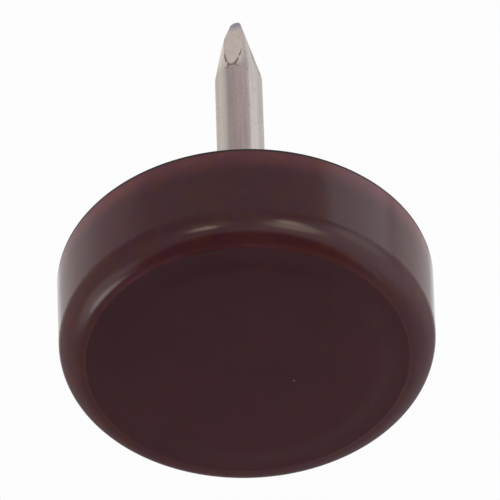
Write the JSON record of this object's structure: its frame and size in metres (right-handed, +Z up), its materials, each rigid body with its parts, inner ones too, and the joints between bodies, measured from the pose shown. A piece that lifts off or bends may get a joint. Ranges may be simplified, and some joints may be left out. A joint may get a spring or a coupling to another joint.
{
  "type": "nail-on furniture glide",
  "caption": "Nail-on furniture glide: a round moulded plastic base with a gently crowned sole, ribbed on its upper side, on a steel wire nail with a pinched square point.",
  "frame": {"origin": "centre of the sole, on the plane that the glide stands on", "axes": "+Z up along the nail, from the sole to the tip; +X and +Y lie in the sole, each along a rib of the nail side"},
  "size_m": [0.02, 0.02, 0.026],
  "materials": {
    "brown_plastic": "dark red-brown moulded plastic, softly glossy",
    "bright_steel": "bright drawn steel wire, with faint lines along its length"
  },
  "bodies": {
    "root": {"glide_base": "brown_plastic", "nail": "bright_steel"}
  },
  "joints": []
}
